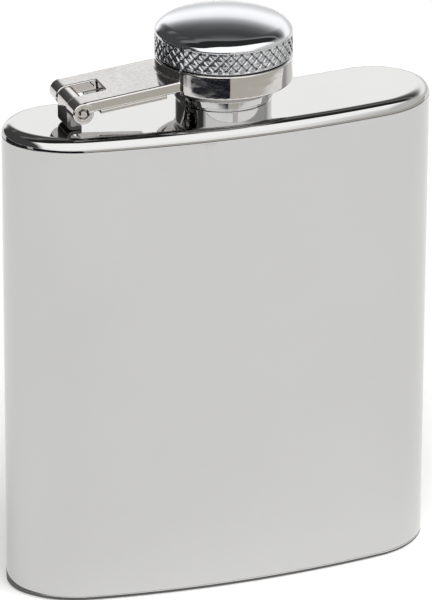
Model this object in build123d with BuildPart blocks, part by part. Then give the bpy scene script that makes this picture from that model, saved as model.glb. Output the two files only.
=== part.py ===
from build123d import *
from math import asin, cos, degrees, radians, sin
import os

# Pocket-sized steel hip flask with a captive screw cap, in millimetres.
# X runs across the flask, with the hinge on the -X side; the convex front faces -Y and the
# hollow back +Y; Z is up. The origin is under the middle of the outline, on the resting face.

# ---- flask body ----
WIDTH = 70.0
DEPTH = 20.55            # overall, front bulge to the two back edges
MIDDLE_DEPTH = 18.73     # front to back on the centre line
SEAM_Z = 76.25           # top of the side wall, where the shoulder plate starts
SHOULDER_Z = 78.15       # flat top of the shoulder plate
SHEET = 0.6              # steel of the side wall
PLATE = 0.7              # steel of the shoulder and base plates
BASE_RIM = 0.9           # height of the base plate's turned-up edge
SHOULDER_ROUND = 1.85
BASE_ROUND = 0.7

# ---- half outline: tangent arcs from the middle of the front to the middle of the back ----
FRONT_TURN = 9.44        # degrees turned by each arc
CORNER_TURN = 47.43
TIP_TURN = 64.66
CORNER_RADIUS = 13.27
TIP_RADIUS = 7.57

# ---- neck ----
NECK_Y = -DEPTH / 2 + MIDDLE_DEPTH / 2
NECK_RADIUS = 7.5
NECK_BEAD_RADIUS = 7.75
BEAD_BOTTOM_Z = 80.4
BEAD_TOP_Z = 82.3
MOUTH_RADIUS = 5.2
MOUTH_CHAMFER = 0.3
BEAD_EASE = 0.1          # the bead blends into the neck over this height
BEAD_CHAMFER = 0.3
NECK_FLANGE_RADIUS = 7.9
NECK_FLANGE = 0.6
NECK_TOP_Z = 89.0
THREAD_PITCH = 1.6
THREAD_CREST = 0.3       # flat on top of each ridge
THREAD_START = 0.8       # plain length before the first ridge
NECK_ROOT_RADIUS = 6.15
NECK_CREST_RADIUS = 6.65
NECK_TURNS = 3

# ---- hinge ----
PIN_X = -24.8
PIN_Z = 82.1
PIN_RADIUS = 0.85
PIN_CLEARANCE = 0.05
KNUCKLE_RADIUS = 1.7
BARREL_RADIUS = 1.55
PIN_PROUD = 0.1          # each pin end stands this far out of its knuckle
PIN_CHAMFER = 0.15
PIN_DIMPLE_RADIUS = 0.38
PIN_DIMPLE = 0.25
BRACKET_WIDTH = 4.6
BRACKET_SHEET = 0.65
BRACKET_BEND = 0.4       # outer radius where the leaf turns into its foot
FOOT_LENGTH = 2.4

# ---- captive arm ----
ARM_SLOPE = 5.9          # degrees the strap climbs towards the cap
ARM_WIDTH = 11.9
ARM_THICKNESS = 1.7
ARM_POCKET = 0.8
ARM_WALL = 1.3
POCKET_END = 1.0         # solid strap between the window and the pocket
COLLAR_OVERLAP = 1.2     # the strap runs this far into the collar's wall
WINDOW_WIDTH = 4.9
WINDOW_END = 4.95        # from the pin axis, along the strap
LIP_HEIGHT = 0.5
LIP_PROUD = 0.2
LIP_START = 2.7          # from the pin axis, along the strap
LIP_END = 13.5
COLLAR_RADIUS = 10.75
COLLAR_WALL = 0.75
COLLAR_PLATE = 0.7
COLLAR_BOTTOM_Z = 83.2
COLLAR_TOP_Z = 87.0
COLLAR_HOLE_RADIUS = 8.7
COLLAR_CHAMFER = 0.25
SLIT = 0.22
SLIT_DEPTH = 0.8         # of the cut along Y, through the collar's wall

# ---- cap ----
CAP_RADIUS = 10.75
KNURL_BOTTOM_Z = 87.15
KNURL_TOP_Z = 90.85
KNURL_CHAMFER = 0.3
CAP_EDGE_RADIUS = 0.85   # dome: two tangent arcs turn up and over from the band to the crown
CAP_EDGE_TURN = 40.0
DOME_EDGE_RADIUS = 3.65
DOME_EDGE_TURN = 31.0
CAP_ROOF_Z = 91.6        # underside of the dome
SLEEVE_RADIUS = 8.45
SLEEVE_ROOT_RADIUS = 7.95
SLEEVE_CREST_RADIUS = 7.45
SLEEVE_LIP_RADIUS = 9.4
SLEEVE_LIP = 0.5
SLEEVE_LIP_SLOPE = 0.2
SLEEVE_BOTTOM_Z = 82.75
GASKET_THICKNESS = 1.3
GASKET_GAP = 0.05
GASKET_SIDE_GAP = 0.1
GASKET_ROUND = 0.25
WASHER_RADIUS = 9.75
WASHER_THICKNESS = 0.4
WASHER_LIFT = 0.25       # the washer hangs this far above the sleeve's lip
WASHER_CLEARANCE = 0.1

os.makedirs("parts", exist_ok=True)


def finish(piece, name):
    """Label a finished piece and write it as its own STEP file."""
    piece.label = name
    export_step(piece, f"parts/{name}.step")


def thread_ridges(bottom_z, root, crest, turns):
    """Profile points of a run of 60-degree ridges on a radius, from the lowest one up."""
    flank = THREAD_PITCH / 4
    land = THREAD_CREST / 2
    points = []
    for turn in range(turns):
        middle = bottom_z + THREAD_PITCH * (turn + 0.5)
        points += [
            (root, middle - flank - land),
            (crest, middle - land),
            (crest, middle + land),
            (root, middle + flank + land),
        ]
    return points


# ---- flask outline ----
half_turn = FRONT_TURN + CORNER_TURN
heel_start = half_turn + TIP_TURN
front_radius = CORNER_RADIUS + (
    WIDTH / 2 - TIP_RADIUS - (CORNER_RADIUS - TIP_RADIUS) * sin(radians(half_turn))
) / sin(radians(FRONT_TURN))
tip_y = (
    front_radius
    - (front_radius - CORNER_RADIUS) * cos(radians(FRONT_TURN))
    - (CORNER_RADIUS - TIP_RADIUS) * cos(radians(half_turn))
)
heel_lean = -cos(radians(heel_start))
heel_radius = (DEPTH - tip_y - heel_lean * TIP_RADIUS) / (1 - heel_lean)
heel_x = WIDTH / 2 - TIP_RADIUS + (TIP_RADIUS - heel_radius) * sin(radians(heel_start))
hollow = MIDDLE_DEPTH - (DEPTH - heel_radius)
back_radius = (heel_x**2 + hollow**2 - heel_radius**2) / (2 * (heel_radius - hollow))
back_turn = degrees(asin(heel_x / (heel_radius + back_radius)))

with BuildSketch() as flask_plan:
    with BuildLine():
        front = JernArc((0, -DEPTH / 2), (1, 0), front_radius, FRONT_TURN)
        corner = JernArc(front @ 1, front % 1, CORNER_RADIUS, CORNER_TURN)
        tip = JernArc(corner @ 1, corner % 1, TIP_RADIUS, TIP_TURN)
        heel = JernArc(tip @ 1, tip % 1, heel_radius, 180 - heel_start + back_turn)
        back = JernArc(heel @ 1, heel % 1, back_radius, -back_turn)
        mirror(about=Plane.YZ)
    make_face()

# ---- body: side wall, base plate and shoulder plate ----
with BuildPart() as body_sleeve:
    with BuildSketch(Plane.XY.offset(BASE_RIM)):
        add(flask_plan.sketch)
        offset(amount=-SHEET, mode=Mode.SUBTRACT)
    extrude(amount=SEAM_Z - BASE_RIM)
finish(body_sleeve.part, "body_sleeve")

with BuildPart() as base_plate:
    with BuildSketch():
        add(flask_plan.sketch)
    extrude(amount=BASE_RIM)
    fillet(base_plate.faces().sort_by(Axis.Z)[0].edges(), BASE_ROUND)
    with BuildSketch(Plane.XY.offset(PLATE)):
        add(flask_plan.sketch)
        offset(amount=-SHEET, mode=Mode.REPLACE)
    extrude(amount=BASE_RIM - PLATE, mode=Mode.SUBTRACT)
finish(base_plate.part, "base_plate")

with BuildPart() as shoulder_plate:
    with BuildSketch(Plane.XY.offset(SEAM_Z)):
        add(flask_plan.sketch)
    extrude(amount=SHOULDER_Z - SEAM_Z)
    fillet(shoulder_plate.faces().sort_by(Axis.Z)[-1].edges(), SHOULDER_ROUND)
    with BuildSketch(Plane.XY.offset(SEAM_Z)):
        add(flask_plan.sketch)
        offset(amount=-SHEET, mode=Mode.REPLACE)
    extrude(amount=SHOULDER_Z - SEAM_Z - PLATE, mode=Mode.SUBTRACT)
    ceiling = shoulder_plate.faces().filter_by(Plane.XY).sort_by(Axis.Z)[-2]
    fillet(ceiling.edges(), SHOULDER_ROUND - PLATE)
    with Locations((0, NECK_Y, SHOULDER_Z)):
        Hole(NECK_RADIUS)
finish(shoulder_plate.part, "shoulder_plate")

# ---- neck, welded through the shoulder plate ----
neck_section = Plane(origin=(0, NECK_Y, 0), x_dir=(1, 0, 0), z_dir=(0, -1, 0))
flange_top = SHOULDER_Z - PLATE
with BuildPart() as neck_tube:
    with BuildSketch(neck_section):
        with BuildLine():
            Polyline(
                (MOUTH_RADIUS, flange_top - NECK_FLANGE),
                (NECK_FLANGE_RADIUS, flange_top - NECK_FLANGE),
                (NECK_FLANGE_RADIUS, flange_top),
                (NECK_RADIUS, flange_top),
                (NECK_RADIUS, BEAD_BOTTOM_Z - BEAD_EASE),
                (NECK_BEAD_RADIUS, BEAD_BOTTOM_Z),
                (NECK_BEAD_RADIUS, BEAD_TOP_Z - BEAD_CHAMFER),
                (NECK_BEAD_RADIUS - BEAD_CHAMFER, BEAD_TOP_Z),
                (NECK_ROOT_RADIUS, BEAD_TOP_Z),
                *thread_ridges(BEAD_TOP_Z + THREAD_START, NECK_ROOT_RADIUS, NECK_CREST_RADIUS, NECK_TURNS),
                (NECK_ROOT_RADIUS, NECK_TOP_Z - MOUTH_CHAMFER),
                (NECK_ROOT_RADIUS - MOUTH_CHAMFER, NECK_TOP_Z),
                (MOUTH_RADIUS, NECK_TOP_Z),
                close=True,
            )
        make_face()
    revolve(axis=Axis((0, NECK_Y, 0), (0, 0, 1)))
finish(neck_tube.part, "neck_tube")

# ---- hinge bracket: foot, upright leaf and rolled barrel, from one strip ----
hinge_side = Plane(origin=(PIN_X, NECK_Y, PIN_Z), x_dir=(1, 0, 0), z_dir=(0, -1, 0))
foot_z = SHOULDER_Z - PIN_Z
with BuildPart() as hinge_bracket:
    with BuildSketch(hinge_side):
        Circle(BARREL_RADIUS)
        with Locations((-BARREL_RADIUS, foot_z)):
            Rectangle(BRACKET_SHEET, -foot_z, align=(Align.MIN, Align.MIN))
            Rectangle(FOOT_LENGTH, BRACKET_SHEET, align=(Align.MIN, Align.MIN))
        Circle(PIN_RADIUS, mode=Mode.SUBTRACT)
    extrude(amount=BRACKET_WIDTH / 2, both=True)
    leaf_edges = hinge_bracket.edges().filter_by(Axis.Y).group_by(Axis.Z)[0]
    fillet(leaf_edges.sort_by(Axis.X)[0], BRACKET_BEND)
finish(hinge_bracket.part, "hinge_bracket")

pin_half_length = ARM_WIDTH / 2 + PIN_PROUD
with BuildPart() as hinge_pin:
    with BuildSketch(hinge_side):
        Circle(PIN_RADIUS)
    extrude(amount=pin_half_length, both=True)
    chamfer(hinge_pin.edges().filter_by(GeomType.CIRCLE), PIN_CHAMFER)
    for side in (1, -1):
        with Locations(hinge_side.offset(side * pin_half_length)):
            Cylinder(PIN_DIMPLE_RADIUS, 2 * PIN_DIMPLE, mode=Mode.SUBTRACT)
finish(hinge_pin.part, "hinge_pin")

# ---- captive arm: strap with hinge knuckles at one end and the cap's collar at the other ----
climb = radians(ARM_SLOPE)
arm_side = Plane(hinge_side.origin, x_dir=(cos(climb), 0, sin(climb)), z_dir=(0, -1, 0))
collar_inner = COLLAR_RADIUS - COLLAR_WALL
strap_run = (-PIN_X - collar_inner) / cos(climb) + COLLAR_OVERLAP
strap_bottom = KNUCKLE_RADIUS - ARM_THICKNESS
collar_axis = Axis((0, NECK_Y, 0), (0, 0, 1))
with BuildPart() as captive_arm:
    with BuildSketch(arm_side):
        Circle(KNUCKLE_RADIUS)
        with Locations((0, strap_bottom)):
            Rectangle(strap_run, ARM_THICKNESS, align=(Align.MIN, Align.MIN))
    extrude(amount=ARM_WIDTH / 2, both=True)
    with BuildSketch(arm_side):
        with Locations((LIP_START, strap_bottom - LIP_HEIGHT)):
            Rectangle(LIP_END - LIP_START, LIP_HEIGHT, align=(Align.MIN, Align.MIN))
    extrude(amount=ARM_WIDTH / 2 + LIP_PROUD, both=True)
    with BuildSketch(arm_side):
        with Locations((WINDOW_END + POCKET_END, strap_bottom - LIP_HEIGHT)):
            Rectangle(strap_run, ARM_POCKET + LIP_HEIGHT, align=(Align.MIN, Align.MIN))
    extrude(amount=ARM_WIDTH / 2 - ARM_WALL, both=True, mode=Mode.SUBTRACT)
    with BuildSketch(arm_side):
        with Locations((WINDOW_END, 0)):
            Rectangle(WINDOW_END + 2 * KNUCKLE_RADIUS, 4 * KNUCKLE_RADIUS, align=(Align.MAX, Align.CENTER))
    extrude(amount=WINDOW_WIDTH / 2, both=True, mode=Mode.SUBTRACT)
    with BuildSketch(arm_side):
        Circle(PIN_RADIUS + PIN_CLEARANCE)
    extrude(amount=ARM_WIDTH, both=True, mode=Mode.SUBTRACT)
    with Locations((0, NECK_Y, COLLAR_BOTTOM_Z)):
        Cylinder(COLLAR_RADIUS - COLLAR_WALL / 2, 2 * (COLLAR_TOP_Z - COLLAR_BOTTOM_Z), mode=Mode.SUBTRACT)
    with BuildSketch(neck_section):
        with BuildLine():
            Polyline(
                (COLLAR_HOLE_RADIUS, COLLAR_TOP_Z - COLLAR_PLATE),
                (collar_inner, COLLAR_TOP_Z - COLLAR_PLATE),
                (collar_inner, COLLAR_BOTTOM_Z),
                (COLLAR_RADIUS, COLLAR_BOTTOM_Z),
                (COLLAR_RADIUS, COLLAR_TOP_Z - COLLAR_CHAMFER),
                (COLLAR_RADIUS - COLLAR_CHAMFER, COLLAR_TOP_Z),
                (COLLAR_HOLE_RADIUS, COLLAR_TOP_Z),
                close=True,
            )
        make_face()
    revolve(axis=collar_axis)
    slit_height = 2 * (COLLAR_TOP_Z - COLLAR_PLATE - COLLAR_BOTTOM_Z)
    slit_x = -((COLLAR_RADIUS**2 - (ARM_WIDTH / 2) ** 2) ** 0.5)
    with Locations(
        (slit_x, NECK_Y - ARM_WIDTH / 2, COLLAR_BOTTOM_Z),
        (slit_x, NECK_Y + ARM_WIDTH / 2, COLLAR_BOTTOM_Z),
    ):
        Box(SLIT, SLIT_DEPTH, slit_height, mode=Mode.SUBTRACT)
finish(captive_arm.part, "captive_arm")

# ---- cap: knurled, domed shell over a threaded sleeve ----
crown_start = CAP_EDGE_TURN + DOME_EDGE_TURN
crown_rim = (
    CAP_RADIUS
    - CAP_EDGE_RADIUS * (1 - cos(radians(CAP_EDGE_TURN)))
    - DOME_EDGE_RADIUS * (cos(radians(CAP_EDGE_TURN)) - cos(radians(crown_start)))
)
crown_radius = crown_rim / cos(radians(crown_start))
with BuildPart() as cap_shell:
    with BuildSketch(neck_section):
        with BuildLine():
            Polyline(
                (0, CAP_ROOF_Z),
                (SLEEVE_RADIUS, CAP_ROOF_Z),
                (SLEEVE_RADIUS, KNURL_BOTTOM_Z),
                (CAP_RADIUS - KNURL_CHAMFER, KNURL_BOTTOM_Z),
                (CAP_RADIUS, KNURL_BOTTOM_Z + KNURL_CHAMFER),
                (CAP_RADIUS, KNURL_TOP_Z),
            )
            cap_edge = JernArc((CAP_RADIUS, KNURL_TOP_Z), (0, 1), CAP_EDGE_RADIUS, CAP_EDGE_TURN)
            dome_edge = JernArc(cap_edge @ 1, cap_edge % 1, DOME_EDGE_RADIUS, DOME_EDGE_TURN)
            crown = JernArc(dome_edge @ 1, dome_edge % 1, crown_radius, 90 - crown_start)
            Line(crown @ 1, (0, CAP_ROOF_Z))
        make_face()
    revolve(axis=collar_axis)
finish(cap_shell.part, "cap_shell")

gasket_bottom = NECK_TOP_Z + GASKET_GAP
gasket_top = gasket_bottom + GASKET_THICKNESS
with BuildPart() as threaded_sleeve:
    with BuildSketch(neck_section):
        with BuildLine():
            Polyline(
                (0, CAP_ROOF_Z),
                (0, gasket_top),
                (SLEEVE_ROOT_RADIUS, gasket_top),
                *reversed(
                    thread_ridges(
                        SLEEVE_BOTTOM_Z + THREAD_START, SLEEVE_ROOT_RADIUS, SLEEVE_CREST_RADIUS, NECK_TURNS
                    )
                ),
                (SLEEVE_ROOT_RADIUS, SLEEVE_BOTTOM_Z),
                (SLEEVE_LIP_RADIUS, SLEEVE_BOTTOM_Z),
                (SLEEVE_LIP_RADIUS, SLEEVE_BOTTOM_Z + SLEEVE_LIP),
                (SLEEVE_RADIUS, SLEEVE_BOTTOM_Z + SLEEVE_LIP + SLEEVE_LIP_SLOPE),
                (SLEEVE_RADIUS, CAP_ROOF_Z),
                close=True,
            )
        make_face()
    revolve(axis=collar_axis)
finish(threaded_sleeve.part, "threaded_sleeve")

with BuildPart() as cap_gasket:
    with Locations((0, NECK_Y, gasket_bottom)):
        Cylinder(
            SLEEVE_CREST_RADIUS - GASKET_SIDE_GAP,
            GASKET_THICKNESS,
            align=(Align.CENTER, Align.CENTER, Align.MIN),
        )
    fillet(cap_gasket.edges().group_by(Axis.Z)[0], GASKET_ROUND)
finish(cap_gasket.part, "cap_gasket")

with BuildPart() as retaining_washer:
    with Locations((0, NECK_Y, SLEEVE_BOTTOM_Z + SLEEVE_LIP + WASHER_LIFT)):
        Cylinder(WASHER_RADIUS, WASHER_THICKNESS, align=(Align.CENTER, Align.CENTER, Align.MIN))
        Cylinder(
            SLEEVE_RADIUS + WASHER_CLEARANCE,
            WASHER_THICKNESS,
            align=(Align.CENTER, Align.CENTER, Align.MIN),
            mode=Mode.SUBTRACT,
        )
finish(retaining_washer.part, "retaining_washer")
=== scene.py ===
import math

import bpy
import numpy as np
from mathutils import Matrix, Vector


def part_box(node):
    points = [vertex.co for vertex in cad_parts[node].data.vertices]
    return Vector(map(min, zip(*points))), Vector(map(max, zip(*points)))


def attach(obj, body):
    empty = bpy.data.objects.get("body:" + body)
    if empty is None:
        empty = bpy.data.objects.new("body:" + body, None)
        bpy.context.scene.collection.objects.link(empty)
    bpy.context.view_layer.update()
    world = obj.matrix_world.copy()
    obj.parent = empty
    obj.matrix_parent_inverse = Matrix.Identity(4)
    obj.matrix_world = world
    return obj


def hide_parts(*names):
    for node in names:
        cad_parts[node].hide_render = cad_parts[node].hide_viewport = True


# Polished hip flask with a captive screw cap. X runs across the flask, -Y is its rounded front, Z is up.
# Shapes are worked out in millimetres and put into their meshes in metres.

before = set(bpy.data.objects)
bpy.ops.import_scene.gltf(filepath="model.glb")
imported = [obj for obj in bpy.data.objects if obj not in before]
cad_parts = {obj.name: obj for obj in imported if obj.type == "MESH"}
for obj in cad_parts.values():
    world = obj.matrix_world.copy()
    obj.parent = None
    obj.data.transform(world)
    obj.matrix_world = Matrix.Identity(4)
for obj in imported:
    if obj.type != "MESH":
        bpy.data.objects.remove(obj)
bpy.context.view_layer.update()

MM = 0.001
TURN = 2 * math.pi


def cad_box(node):
    """A frame node's lowest and highest corners in millimetres."""
    low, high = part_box(node)
    return np.array(low) / MM, np.array(high) / MM


# ---------------------------------------------------------------- sizes taken from the frame
sleeve_low, sleeve_high = cad_box("body_sleeve")
_, shoulder_high = cad_box("shoulder_plate")
neck_low, neck_high = cad_box("neck_tube")
cap_low, cap_high = cad_box("cap_shell")
stem_low, stem_high = cad_box("threaded_sleeve")
gasket_low, gasket_high = cad_box("cap_gasket")
washer_low, washer_high = cad_box("retaining_washer")
_, arm_high = cad_box("captive_arm")
pin_low, pin_high = cad_box("hinge_pin")
bracket_low, bracket_high = cad_box("hinge_bracket")

HALF_WIDTH = sleeve_high[0]
FRONT_Y = sleeve_low[1]
BACK_Y = sleeve_high[1]
BASE_TOP = sleeve_low[2]
SEAM_Z = sleeve_high[2]
SHOULDER_Z = shoulder_high[2]
NECK_Y = (neck_low[1] + neck_high[1]) / 2
PIN_X, PIN_Z = (pin_low[0] + pin_high[0]) / 2, (pin_low[2] + pin_high[2]) / 2
MIDDLE_DEPTH = 18.73
SHEET = 0.6
PLATE = 0.7
SEAM_EASE, BASE_EASE, INNER_EASE = 0.1, 0.07, 0.04
SHOULDER_ROUND, BASE_ROUND = 1.85, 0.7
NECK_RADIUS, MOUTH_RADIUS = 7.5, 5.2
THREAD_PITCH = 1.6
STEM_RADIUS = 8.45

# ---------------------------------------------------------------- mesh building


def skin(name, points, normals, closed_along=False):
    """Mesh over a grid of points, rows along the profile and columns around it. Columns always wrap round;
    rows wrap too where closed_along is set. A first or last row that has shrunk to one point becomes a pole
    of triangles. Each vertex takes its normal from the formula's own normals, so that polish stays true."""
    rows, columns = points.shape[:2]
    spread = np.ptp(points, axis=1).max(axis=1)
    pole = {row: (not closed_along) and spread[row] < 1e-6 for row in (0, rows - 1)}
    first = 1 if pole[0] else 0
    last = rows - 1 if pole[rows - 1] else rows
    ring = points[first:last].reshape(-1, 3)
    ring_normals = normals[first:last].reshape(-1, 3)
    index = np.arange(len(ring)).reshape(last - first, columns)
    upper = np.roll(index, -1, axis=0) if closed_along else index[1:]
    lower = index if closed_along else index[:-1]
    quads = np.stack([lower, np.roll(lower, -1, 1), np.roll(upper, -1, 1), upper], axis=-1).reshape(-1, 4)
    faces = quads.tolist()
    coordinates, directions = [ring], [ring_normals]
    count = len(ring)
    if pole[0]:
        tip = np.full(columns, count)
        faces += np.stack([tip, np.roll(index[0], -1), index[0]], axis=-1).tolist()
        coordinates.append(points[0, :1])
        directions.append(normals[0, :1])
        count += 1
    if pole[rows - 1]:
        tip = np.full(columns, count)
        faces += np.stack([index[-1], np.roll(index[-1], -1), tip], axis=-1).tolist()
        coordinates.append(points[-1, :1])
        directions.append(normals[-1, :1])
    return piece(name, np.concatenate(coordinates), faces, np.concatenate(directions))


def unit(vectors):
    """Vectors along the last axis, each brought to a length of 1."""
    return vectors / np.maximum(np.linalg.norm(vectors, axis=-1, keepdims=True), 1e-9)


def shown(name, data):
    """An object for some data, linked into the scene at the origin."""
    thing = bpy.data.objects.new(name, data)
    bpy.context.scene.collection.objects.link(thing)
    return thing


def flat_shaded(name, points, faces):
    """An object at the origin, from points in metres and their faces."""
    mesh = bpy.data.meshes.new(name)
    mesh.from_pydata(points.tolist(), [], faces)
    return shown(name, mesh)


def piece(name, points, faces, normals):
    """A smooth-shaded object at the origin, from points in millimetres, their faces and their normals."""
    thing = flat_shaded(name, points * MM, faces)
    mesh = thing.data
    mesh.polygons.foreach_set("use_smooth", np.ones(len(mesh.polygons), dtype=bool))
    mesh.update()
    mesh.normals_split_custom_set_from_vertices(unit(normals).tolist())
    return thing


def store(thing, name, value):
    """Keeps one number for each point of a piece, for its finish to read."""
    thing.data.attributes.new(name, "FLOAT", "POINT").data.foreach_set("value", value)


def rounded(corners, radii, closed=True, steps=6):
    """Profile through corner points, each corner turned through an arc of its own radius. Returns points and
    outward normals; outward is to the right of travel. Open profiles keep their two ends as they are."""
    corners = np.array(corners, float)
    count = len(corners)
    radii = np.broadcast_to(np.array(radii, float), count)
    points, normals = [], []
    for i in range(count):
        if not closed and i in (0, count - 1):
            step = corners[1] - corners[0] if i == 0 else corners[-1] - corners[-2]
            step = step / np.linalg.norm(step)
            points.append(corners[i][None])
            normals.append(np.array([[step[1], -step[0]]]))
            continue
        before = corners[i] - corners[i - 1]
        after = corners[(i + 1) % count] - corners[i]
        heading = math.atan2(before[1], before[0])
        turn = (math.atan2(after[1], after[0]) - heading + math.pi) % TURN - math.pi
        radius = radii[i]
        side = 1.0 if turn > 0 else -1.0
        tangent = radius * math.tan(abs(turn) / 2)
        start = corners[i] - before / np.linalg.norm(before) * tangent
        angles = heading - math.pi / 2 + turn * np.linspace(0, 1, steps)
        normal = np.stack([np.cos(angles), np.sin(angles)], axis=1)
        centre = start - side * radius * normal[0]
        points.append(centre + side * radius * normal)
        normals.append(normal)
    return np.concatenate(points), np.concatenate(normals)


def rounded_loop(corners, radii, gap):
    """Closed rounded profile with evenly spaced points on the stretches that are longer than gap."""
    section, lean = rounded(corners, radii, steps=5)
    points, normals = densify((np.vstack([section, section[:1]]), np.vstack([lean, lean[:1]])), gap)
    return points[:-1], normals[:-1]


def densify(profile, gap):
    """Adds evenly spaced points on a profile's stretches that are longer than gap, with blended normals."""
    points, normals = profile
    steps = np.maximum(1, np.ceil(np.linalg.norm(np.diff(points, axis=0), axis=1) / gap).astype(int))
    start = np.repeat(np.arange(len(steps)), steps)
    part = (np.arange(len(start)) - np.repeat(np.cumsum(steps) - steps, steps)) / steps[start]
    mix = part[:, None]
    dense = points[start] * (1 - mix) + points[start + 1] * mix
    lean = normals[start] * (1 - mix) + normals[start + 1] * mix
    return np.vstack([dense, points[-1:]]), np.vstack([lean, normals[-1:]])


def turned(profile, columns, centre=(0.0, 0.0), relief=None):
    """Grid turned from a profile of (radius, height) about an upright axis: each point is the axis plus the
    radius times (cos, sin). relief(angle, height, radius) is added to the radius, and where it is not zero
    the normals come from the grid's own slopes."""
    section, lean = profile
    angle = np.linspace(0, TURN, columns, endpoint=False)[None, :]
    radius = section[:, :1] + 0 * angle
    height = section[:, 1:] + 0 * angle
    bump = relief(angle + 0 * radius, height, radius) if relief else 0 * radius
    radius = radius + bump
    plan = [centre[0] + radius * np.cos(angle), centre[1] + radius * np.sin(angle)]
    points = np.stack(plan + [height], axis=-1)
    normals = np.stack(
        [lean[:, :1] * np.cos(angle), lean[:, :1] * np.sin(angle), lean[:, 1:] + 0 * angle], axis=-1
    )
    if relief:
        around = np.roll(points, -1, 1) - np.roll(points, 1, 1)
        along = np.gradient(points, axis=0)
        rough = np.abs(bump).max(axis=1) > 1e-6
        normals[rough] = unit(np.cross(around, along))[rough]
    return points, normals


def arc(centre, radius, start, end, count):
    """Points and outward normals of a circular arc between two angles in degrees."""
    angle = np.radians(np.linspace(start, end, count))
    normal = np.stack([np.cos(angle), np.sin(angle)], axis=1)
    return np.array(centre) + radius * normal, normal


# ---------------------------------------------------------------- flask outline


def facing(turn):
    """Plan direction that has turned by an angle in degrees from straight ahead, -Y, towards +X."""
    return np.array([math.sin(math.radians(turn)), -math.cos(math.radians(turn))])


def flask_outline():
    """Closed plan outline and its normals: tangent arcs from the middle of the front to the middle of the
    hollow back, given by each arc's radius and the angles of its normal, then mirrored about X = 0."""
    front_turn, corner_turn, tip_turn = 9.44, 56.87, 121.53
    corner, tip = 13.27, 7.57
    reach = HALF_WIDTH - tip - (corner - tip) * facing(corner_turn)[0]
    front = corner + reach / facing(front_turn)[0]
    middle_back = FRONT_Y + MIDDLE_DEPTH
    front_centre = np.array([0, FRONT_Y + front])
    corner_centre = front_centre + (front - corner) * facing(front_turn)
    tip_centre = corner_centre + (corner - tip) * facing(corner_turn)
    lean = facing(tip_turn)[1]
    heel = (BACK_Y - tip_centre[1] - lean * tip) / (1 - lean)
    heel_centre = tip_centre + (tip - heel) * facing(tip_turn)
    hollow = middle_back - heel_centre[1]
    back = (heel_centre[0] ** 2 + hollow**2 - heel**2) / (2 * (heel - hollow))
    back_turn = math.degrees(math.asin(heel_centre[0] / (heel + back)))
    hollow_points, hollow_normals = arc((0, middle_back + back), back, -90 + back_turn, -90, 60)
    parts = [
        arc(front_centre, front, -90, -90 + front_turn, 60),
        arc(corner_centre, corner, -90 + front_turn, -90 + corner_turn, 60),
        arc(tip_centre, tip, -90 + corner_turn, -90 + tip_turn, 50),
        arc(heel_centre, heel, -90 + tip_turn, 90 + back_turn, 45),
        (hollow_points, -hollow_normals),
    ]
    flip = np.array([-1, 1])
    halves = [np.concatenate([part[k][:-1] for part in parts] + [parts[-1][k][-1:]]) for k in (0, 1)]
    return [np.concatenate([half, half[-2:0:-1] * flip]) for half in halves]


OUTLINE, OUTLINE_NORMALS = flask_outline()


def carried(profile):
    """Grid of a profile carried round the flask's outline. The profile is (distance out from the outline,
    height), so each point is the outline plus that distance along the outline's normal."""
    section, lean = profile
    plan = OUTLINE[None] + section[:, None, :1] * OUTLINE_NORMALS[None]
    height = np.broadcast_to(section[:, None, 1:], plan.shape[:2] + (1,))
    sideways = lean[:, None, :1] * OUTLINE_NORMALS[None]
    upward = np.broadcast_to(lean[:, None, 1:], sideways.shape[:2] + (1,))
    return np.concatenate([plan, height], -1), np.concatenate([sideways, upward], -1)


def flat_rows(edge, target, parts):
    """Flat rows that run from an edge ring to a target ring of the same column count, edge left out."""
    mix = np.array(parts)[:, None, None]
    return edge[None] * (1 - mix) + target[None] * mix


def flat_normals(rows, up):
    """Upright normals for flat rows."""
    normals = np.zeros_like(rows)
    normals[..., 2] = up
    return normals


def ring_facing(edge, radius, height):
    """Circle about the neck's axis whose points lie in the same directions as those of an edge ring."""
    axis = np.array([0, NECK_Y])
    plan = axis + radius * unit(edge[:, :2] - axis)
    return np.concatenate([plan, np.full((len(plan), 1), height)], 1)


# ---------------------------------------------------------------- body


RIM = 4.0


def body_sleeve():
    """Side wall: a thin rounded strip section carried round the outline, closed on itself."""
    corners = [(0, BASE_TOP), (0, SEAM_Z), (-SHEET, SEAM_Z), (-SHEET, BASE_TOP)]
    section = rounded_loop(corners, [BASE_EASE, SEAM_EASE, INNER_EASE, INNER_EASE], 3.0)
    return skin("body_sleeve_wall", *carried(section), closed_along=True)


def stamped_plate(name, edge, face, inside, hole=0.0):
    """Stamped end plate: an edge profile carried round the outline, whose two ends are closed by flat rows
    that run straight in to the neck hole or, where there is none, to a point. The plate's face looks up
    where it lies above its inside, and down otherwise."""
    points, normals = carried(edge)
    side = 1 if face > inside else -1
    ends = []
    for row, height, up in ((0, inside, -1), (-1, face, 1)) if side > 0 else ((0, face, -1), (-1, inside, 1)):
        middle = ring_facing(points[row], max(hole, 0.001), height)
        rows = flat_rows(points[row], middle, (0.25, 0.5, 0.75, 1.0))
        ends.append((rows, flat_normals(rows, up)))
    (first, first_normals), (last, last_normals) = ends
    grid = np.concatenate([first[::-1], points, last])
    leans = np.concatenate([first_normals[::-1], normals, last_normals])
    return skin(name, grid, leans, closed_along=hole > 0)


def shoulder_pan():
    """Top plate: full round over its outer edge, and the matching hollow round inside one sheet below."""
    inside = SHOULDER_Z - PLATE
    corners = [
        (-RIM, inside), (-SHEET, inside), (-SHEET, SEAM_Z), (0, SEAM_Z), (0, SHOULDER_Z), (-RIM, SHOULDER_Z),
    ]
    radii = [0, SHOULDER_ROUND - PLATE, INNER_EASE, SEAM_EASE, SHOULDER_ROUND, 0]
    edge = rounded(corners, radii, closed=False, steps=24)
    return stamped_plate("shoulder_pan", edge, SHOULDER_Z, inside, NECK_RADIUS)


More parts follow.
